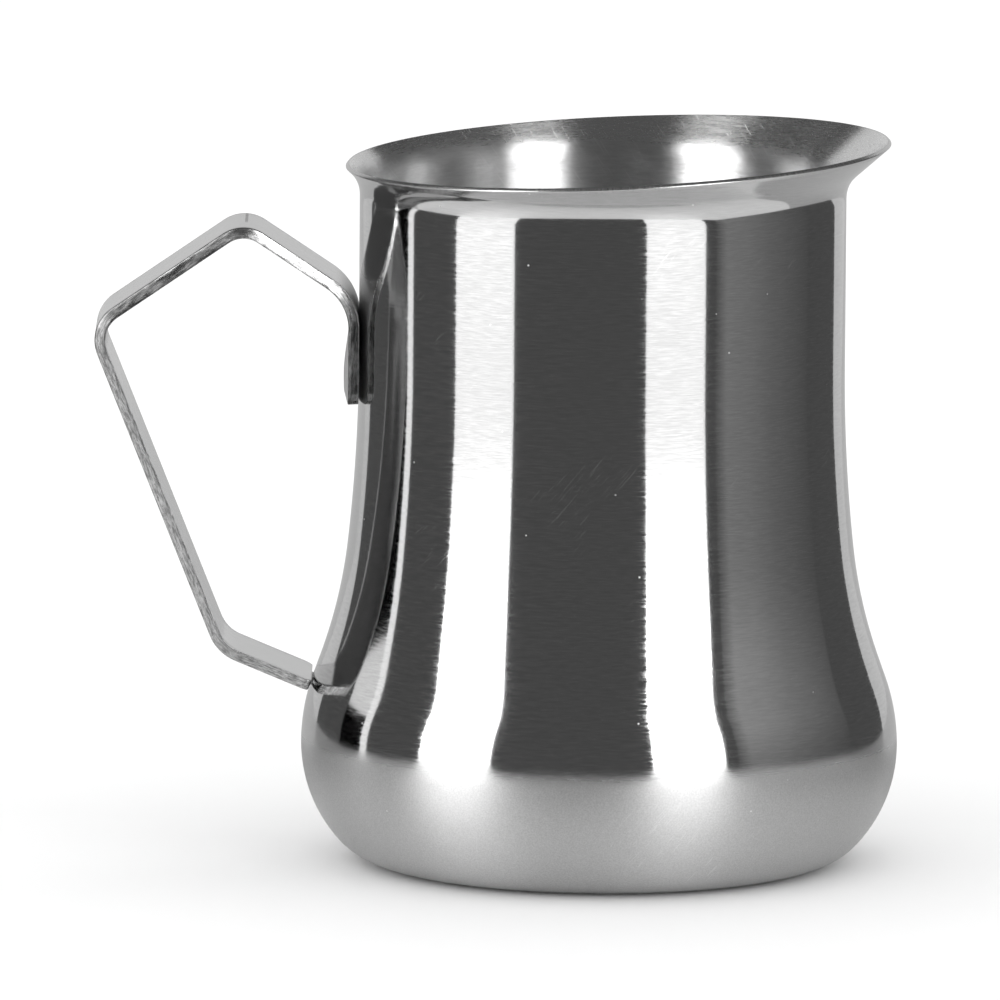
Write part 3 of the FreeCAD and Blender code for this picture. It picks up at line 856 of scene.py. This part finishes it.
def make_plane(name, low, high, height, material):
    """A level rectangle."""
    corners = [(low[0], low[1]), (high[0], low[1]), (high[0], high[1]), (low[0], high[1])]
    mesh = bpy.data.meshes.new(name)
    mesh.from_pydata([(x, y, height) for x, y in corners], [], [(0, 1, 2, 3)])
    mesh.materials.append(material)
    plane = bpy.data.objects.new(name, mesh)
    bpy.context.scene.collection.objects.link(plane)
    return plane


def pale_surface(name, shade, roughness):
    """Plain pale board with a faint sheen."""
    material = bpy.data.materials.new(name)
    graph = Graph(material)
    inputs = {"Base Color": (shade, shade, shade, 1), "Roughness": roughness}
    shader = graph.add("BsdfPrincipled", inputs)
    graph.add("OutputMaterial", {"Surface": shader})
    return material


def make_world():
    """White to the camera and to pale surfaces, and a dim room in reflections."""
    world = bpy.data.worlds.new("studio")
    bpy.context.scene.world = world
    graph = Graph(world)
    ray = graph.add("LightPath", {}, "Is Glossy Ray")
    level = graph.blend(ray, 0.0, 1.0, OPEN_LEVEL, ROOM_LEVEL)
    background = graph.add("Background", {"Color": (1, 1, 1, 1), "Strength": level})
    graph.add("OutputWorld", {"Surface": background})


def make_studio():
    """Floor, two-part table, ceiling, light cards and world."""
    reach = FLOOR_REACH
    paint = pale_surface("floor_paint", FLOOR_SHADE, 1.0)
    floor = make_plane("floor", (-reach, -reach), (reach, reach), -FLOOR_DROP, paint)
    floor.visible_glossy = False
    floor.visible_diffuse = False
    # A lit and a shaded copy of one pale board, as painted light and shade.
    lit_front_board = pale_surface("lit_front_board", TABLE_FRONT_PAINTED_LIGHT, TABLE_ROUGHNESS)
    shaded_back_board = pale_surface("shaded_back_board", TABLE_BACK_PAINTED_SHADE, TABLE_ROUGHNESS)
    front_high = (TABLE_HIGH[0], TABLE_SEAM)
    back_low = (TABLE_LOW[0], TABLE_SEAM)
    only_in_reflections(make_plane("table_front", TABLE_LOW, front_high, 0.0, lit_front_board))
    only_in_reflections(make_plane("table_back", back_low, TABLE_HIGH, 0.0, shaded_back_board))
    reach = CEILING_REACH
    light = glow("ceiling_glow", CEILING_LEVEL, EVEN, EVEN)
    ceiling = make_plane("ceiling", (-reach, -reach), (reach, reach), CEILING_HEIGHT, light)
    only_in_reflections(ceiling)
    for card in CARDS:
        make_card(*card)
    make_world()


def make_camera():
    """The camera, level with its horizon apart from a slight roll."""
    data = bpy.data.cameras.new("camera")
    data.sensor_width = SENSOR
    data.lens = LENS
    data.clip_start, data.clip_end = 0.01, 50
    camera = bpy.data.objects.new("camera", data)
    tilt = Matrix.Rotation(math.pi / 2 - CAMERA_TILT, 4, "X")
    roll = Matrix.Rotation(CAMERA_ROLL, 4, "Z")
    camera.matrix_world = Matrix.Translation(CAMERA_PLACE) @ tilt @ roll
    bpy.context.scene.collection.objects.link(camera)
    bpy.context.scene.camera = camera


def main():
    """Build the pieces, their materials, the studio and the camera."""
    outside = steel("polished_outside", polished_outside)
    inside = steel("brushed_inside", brushed_inside)
    edge = steel("cut_edge", cut_edge)
    make_jug(outside, inside, edge)
    make_handle(steel("strip_face", strip_face), steel("strip_side", strip_side))
    weld = steel("weld_metal", weld_surface)
    for name in ("neck_spot_welds", "foot_weld"):
        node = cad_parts[name]
        node.data.materials.clear()
        node.data.materials.append(weld)
    make_studio()
    make_camera()
    bpy.context.scene.view_settings.view_transform = "Standard"


main()
